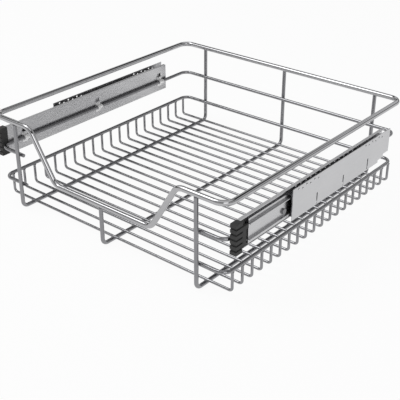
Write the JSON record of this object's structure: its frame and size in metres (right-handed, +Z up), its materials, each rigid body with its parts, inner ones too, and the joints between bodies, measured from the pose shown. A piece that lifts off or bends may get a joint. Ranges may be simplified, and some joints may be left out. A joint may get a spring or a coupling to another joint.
{
  "type": "pull out cabinet wire basket",
  "caption": "Open-topped wire basket with a front hand dip, on telescopic ball slides that screw to the inside faces of a cabinet.",
  "frame": {"origin": "middle of the footprint, on the plane the floor wires stand on", "axes": "+X to the right seen from the front, +Y to the back of the cabinet, +Z up"},
  "size_m": [0.464, 0.444, 0.146],
  "materials": {
    "basket_wire": "bright chrome plate",
    "slide_steel": "zinc plated sheet",
    "cage_steel": "plain thin sheet",
    "ball_steel": "polished bearing steel",
    "clip_nickel": "bright nickel plate",
    "cap_plastic": "moulded black plastic",
    "stop_rubber": "moulded rubber",
    "stud_steel": "dark plated steel"
  },
  "bodies": {
    "cabinet_side": {"mounting_plate_right": "slide_steel", "mounting_plate_left": "slide_steel", "cabinet_rail_right": "slide_steel", "cabinet_rail_left": "slide_steel", "closing_stop_right": "stop_rubber", "closing_stop_left": "stop_rubber"},
    "outer_cages": {"outer_ball_cage_right": "cage_steel", "outer_ball_cage_left": "cage_steel", "outer_balls_right": "ball_steel", "outer_balls_left": "ball_steel"},
    "middle_members": {"middle_member_right": "slide_steel", "middle_member_left": "slide_steel", "stop_stud_right": "stud_steel", "stop_stud_left": "stud_steel"},
    "inner_cages": {"inner_ball_cage_right": "cage_steel", "inner_ball_cage_left": "cage_steel", "inner_balls_right": "ball_steel", "inner_balls_left": "ball_steel"},
    "basket": {"top_rim": "basket_wire", "mid_rim": "basket_wire", "low_rim": "basket_wire", "floor_wire_left": "basket_wire", "floor_wire_middle": "basket_wire", "floor_wire_right": "basket_wire", "cross_wire_01": "basket_wire", "cross_wire_02": "basket_wire", "cross_wire_03": "basket_wire", "cross_wire_04": "basket_wire", "cross_wire_05": "basket_wire", "cross_wire_06": "basket_wire", "cross_wire_07": "basket_wire", "cross_wire_08": "basket_wire", "cross_wire_09": "basket_wire", "cross_wire_10": "basket_wire", "cross_wire_11": "basket_wire", "cross_wire_12": "basket_wire", "cross_wire_13": "basket_wire", "cross_wire_14": "basket_wire", "cross_wire_15": "basket_wire", "cross_wire_16": "basket_wire", "cross_wire_17": "basket_wire", "cross_wire_18": "basket_wire", "cross_wire_19": "basket_wire", "cross_wire_20": "basket_wire", "drawer_member_right": "slide_steel", "drawer_member_left": "slide_steel", "front_clip_right": "clip_nickel", "front_clip_left": "clip_nickel", "centre_clip_right": "clip_nickel", "centre_clip_left": "clip_nickel", "rear_clip_right": "clip_nickel", "rear_clip_left": "clip_nickel", "end_cap_right": "cap_plastic", "end_cap_left": "cap_plastic"}
  },
  "joints": [
    {"name": "basket_slide", "type": "slide", "parent": "cabinet_side", "child": "basket", "axis": [0, -1, 0], "range_m": [0, 0.34]},
    {"name": "middle_member_slide", "type": "slide", "parent": "cabinet_side", "child": "middle_members", "axis": [0, -1, 0], "range_m": [0, 0.17]},
    {"name": "outer_cage_slide", "type": "slide", "parent": "cabinet_side", "child": "outer_cages", "axis": [0, -1, 0], "range_m": [0, 0.085]},
    {"name": "inner_cage_slide", "type": "slide", "parent": "cabinet_side", "child": "inner_cages", "axis": [0, -1, 0], "range_m": [0, 0.255]}
  ],
  "couplings": [
    {"joint": "middle_member_slide", "follows": "basket_slide", "ratio": 0.5},
    {"joint": "outer_cage_slide", "follows": "basket_slide", "ratio": 0.25},
    {"joint": "inner_cage_slide", "follows": "basket_slide", "ratio": 0.75}
  ]
}
